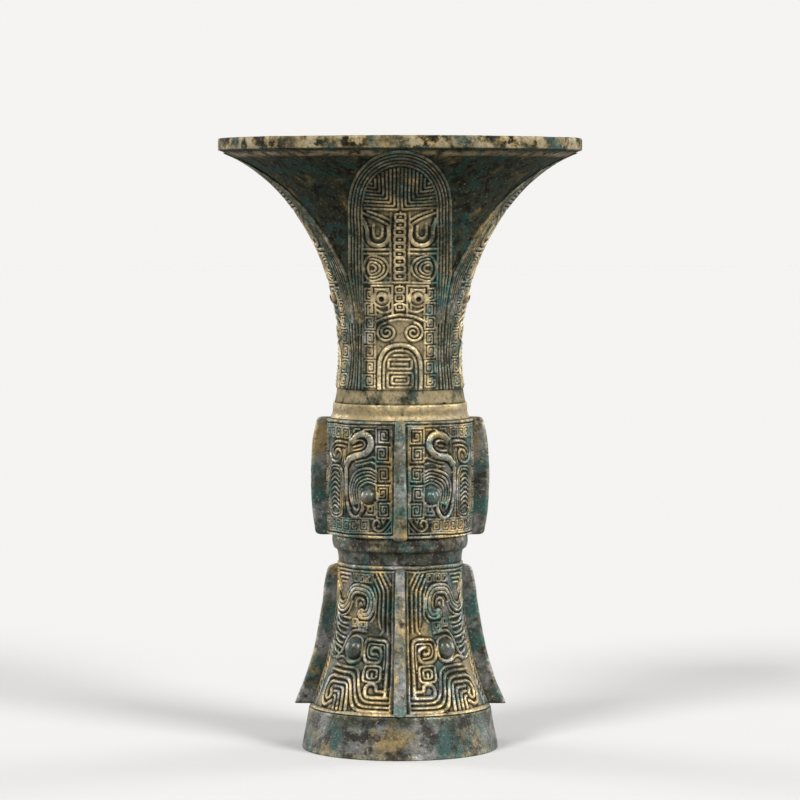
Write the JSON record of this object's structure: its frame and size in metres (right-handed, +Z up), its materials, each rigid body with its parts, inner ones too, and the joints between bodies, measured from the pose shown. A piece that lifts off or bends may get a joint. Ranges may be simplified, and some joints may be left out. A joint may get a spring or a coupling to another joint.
{
  "type": "bronze gu vessel",
  "caption": "Trumpet-mouthed cast bronze wine vessel with a flanged drum knop, plantain-leaf blades and a spreading hollow foot.",
  "frame": {"origin": "centre of the standing face, at the bottom of the foot ring", "axes": "+Z up the vessel axis, the front flange and front leaf face -Y, +X to the right"},
  "size_m": [0.1012, 0.1012, 0.17],
  "materials": {
    "plain_bronze": "cast bronze with a mottled green and brown patina",
    "carved_bronze": "cast relief, dark in the recesses and rubbed tan on the ridges",
    "rubbed_bronze": "cast bronze rubbed to a grey-green sheen"
  },
  "bodies": {
    "root": {"cup_floor": "plain_bronze", "foot_eyes": "rubbed_bronze", "foot_flange_back": "rubbed_bronze", "foot_flange_front": "rubbed_bronze", "foot_flange_left": "rubbed_bronze", "foot_flange_right": "rubbed_bronze", "foot_mask_back_left": "carved_bronze", "foot_mask_back_right": "carved_bronze", "foot_mask_front_left": "carved_bronze", "foot_mask_front_right": "carved_bronze", "foot_ring": "plain_bronze", "foot_skirt": "carved_bronze", "knop_bird_back_left": "carved_bronze", "knop_bird_back_right": "carved_bronze", "knop_bird_front_left": "carved_bronze", "knop_bird_front_right": "carved_bronze", "knop_drum": "carved_bronze", "knop_eyes": "rubbed_bronze", "knop_flange_back": "rubbed_bronze", "knop_flange_front": "rubbed_bronze", "knop_flange_left": "rubbed_bronze", "knop_flange_right": "rubbed_bronze", "leaf_back": "carved_bronze", "leaf_eyes": "carved_bronze", "leaf_front": "carved_bronze", "leaf_left": "carved_bronze", "leaf_right": "carved_bronze", "neck_collar": "plain_bronze", "trumpet": "plain_bronze", "waist_ring": "plain_bronze"}
  },
  "joints": []
}
